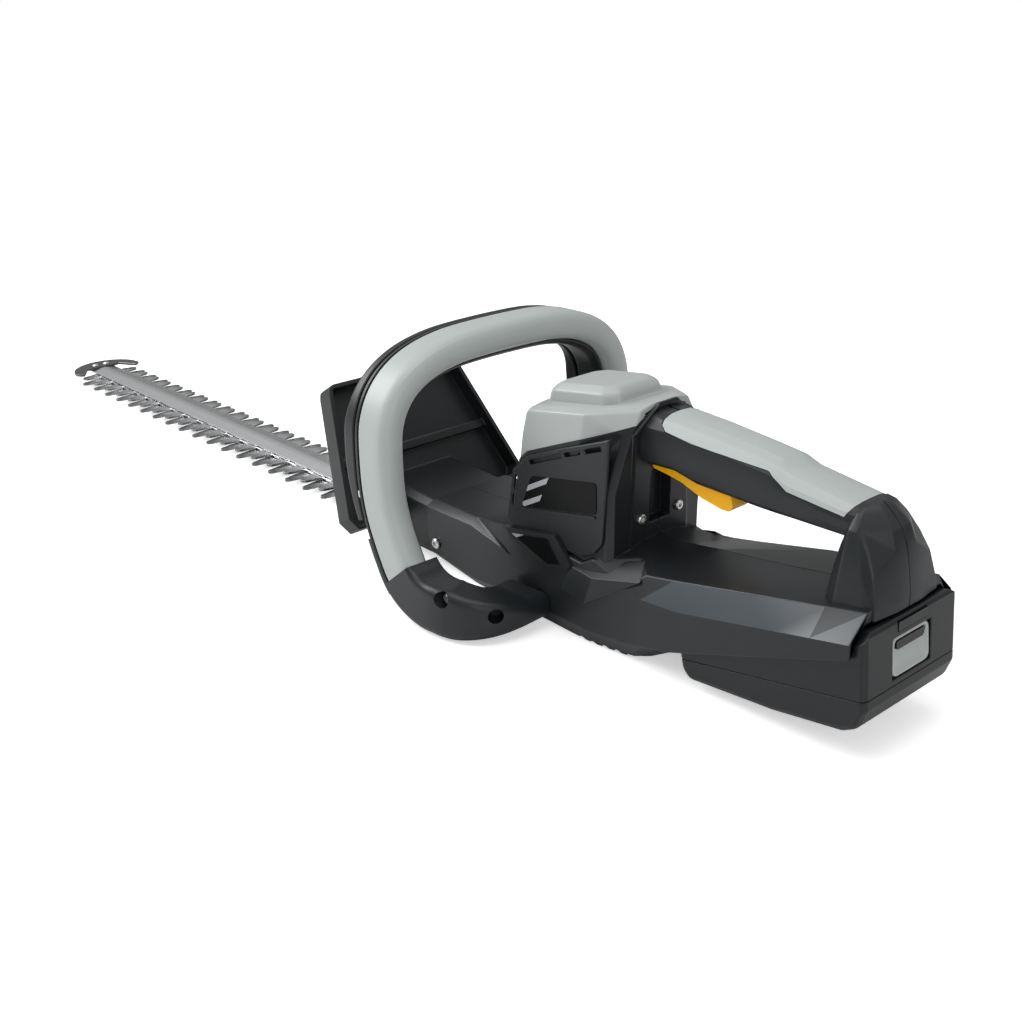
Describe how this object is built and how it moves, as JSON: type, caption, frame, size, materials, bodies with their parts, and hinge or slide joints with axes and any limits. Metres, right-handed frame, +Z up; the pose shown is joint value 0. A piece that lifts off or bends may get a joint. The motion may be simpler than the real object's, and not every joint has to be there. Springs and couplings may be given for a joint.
{
  "type": "cordless hedge trimmer",
  "caption": "Cordless hedge trimmer with a long double-sided reciprocating blade, hand guard, looped front handle, rear D-handle with trigger, and slide-in battery.",
  "frame": {"origin": "middle of the tool's length and width, on the surface it lies on", "axes": "+X along the blade to its tip, +Y to the tool's left, +Z up"},
  "size_m": [0.9564, 0.2072, 0.1647],
  "materials": {
    "ground_steel": "ground and brushed",
    "dark_steel": "dark oxide",
    "bright_screw": "bright zinc",
    "cast_alloy": "as cast",
    "motor_can": "plain can",
    "charcoal_plastic": "fine moulded texture, satin",
    "black_plastic": "fine moulded texture",
    "light_soft_grip": "smooth soft skin",
    "light_cap": "satin",
    "yellow_trigger": "satin to gloss",
    "dark_window": "gloss",
    "board_green": "solder mask",
    "cell_sleeve": "shrink sleeve"
  },
  "bodies": {
    "housing": {"guide_bar": "ground_steel", "bearing_lower": "ground_steel", "bearing_upper": "ground_steel", "trigger_pin": "ground_steel", "lever_pin_left": "ground_steel", "lever_pin_right": "ground_steel", "tip_guard": "dark_steel", "base_plate": "dark_steel", "tip_rivet_left": "bright_screw", "tip_rivet_right": "bright_screw", "blade_bolt_1": "bright_screw", "blade_bolt_2": "bright_screw", "blade_bolt_3": "bright_screw", "blade_bolt_4": "bright_screw", "housing_screw_1": "bright_screw", "housing_screw_2": "bright_screw", "housing_screw_3": "bright_screw", "housing_screw_4": "bright_screw", "housing_screw_5": "bright_screw", "guard_screw_left": "bright_screw", "guard_screw_right": "bright_screw", "handle_screw_left": "bright_screw", "handle_screw_right": "bright_screw", "arm_bolt_left": "bright_screw", "arm_bolt_right": "bright_screw", "gear_case": "cast_alloy", "motor_body": "motor_can", "housing_left": "charcoal_plastic", "housing_right": "charcoal_plastic", "vent_panel_left": "charcoal_plastic", "vent_panel_right": "charcoal_plastic", "hand_guard": "black_plastic", "front_handle_frame": "black_plastic", "main_switch": "black_plastic", "terminal_block": "black_plastic", "grip_overmould": "light_soft_grip", "front_handle_grip": "light_soft_grip", "motor_cap": "light_cap", "control_board": "board_green"},
    "trigger": {"trigger": "yellow_trigger"},
    "front_lever": {"front_switch_lever": "black_plastic"},
    "upper_blade": {"upper_blade": "ground_steel"},
    "lower_blade": {"lower_blade": "ground_steel"},
    "drive_gear": {"drive_gear": "dark_steel", "gear_shaft": "ground_steel"},
    "motor_rotor": {"motor_shaft": "ground_steel", "motor_fan": "black_plastic"},
    "battery": {"battery_case_upper": "charcoal_plastic", "battery_case_lower": "charcoal_plastic", "charge_indicator": "dark_window", "battery_cell_1": "cell_sleeve", "battery_cell_2": "cell_sleeve", "battery_cell_3": "cell_sleeve", "battery_cell_4": "cell_sleeve", "battery_cell_5": "cell_sleeve"},
    "battery_latch": {"battery_latch": "charcoal_plastic"}
  },
  "joints": [
    {"name": "trigger_squeeze", "type": "hinge", "parent": "housing", "child": "trigger", "pos_m": [-0.31215, 0, 0.11125], "axis": [0, 1, 0], "range_deg": [0, 8], "stiffness_Nm_per_rad": 0.6, "springref_deg": -11.46},
    {"name": "front_lever_squeeze", "type": "hinge", "parent": "housing", "child": "front_lever", "pos_m": [-0.16086, 0, 0.07297], "axis": [0, -1, 0], "range_deg": [0, 1.4], "stiffness_Nm_per_rad": 8, "springref_deg": -5.73},
    {"name": "upper_blade_stroke", "type": "slide", "parent": "housing", "child": "upper_blade", "axis": [1, 0, 0], "range_m": [-0.01085, 0.00185]},
    {"name": "lower_blade_stroke", "type": "slide", "parent": "housing", "child": "lower_blade", "axis": [1, 0, 0], "range_m": [-0.00185, 0.01085]},
    {"name": "drive_gear_spin", "type": "hinge", "parent": "housing", "child": "drive_gear", "pos_m": [-0.23815, 0, 0.0182], "axis": [0, 0, 1], "continuous": true},
    {"name": "motor_spin", "type": "hinge", "parent": "housing", "child": "motor_rotor", "pos_m": [-0.26975, 0, 0.05675], "axis": [0, 0, 1], "continuous": true},
    {"name": "battery_slide", "type": "slide", "parent": "housing", "child": "battery", "axis": [-0.9426, 0, 0.3338], "range_m": [0, 0.12]},
    {"name": "battery_latch_press", "type": "slide", "parent": "battery", "child": "battery_latch", "axis": [1, 0, 0], "range_m": [0, 0.003], "stiffness_N_per_m": 800, "springref_m": -0.003}
  ],
  "couplings": [
    {"joint": "lower_blade_stroke", "follows": "upper_blade_stroke", "ratio": -1},
    {"joint": "motor_spin", "follows": "drive_gear_spin", "ratio": -6}
  ]
}
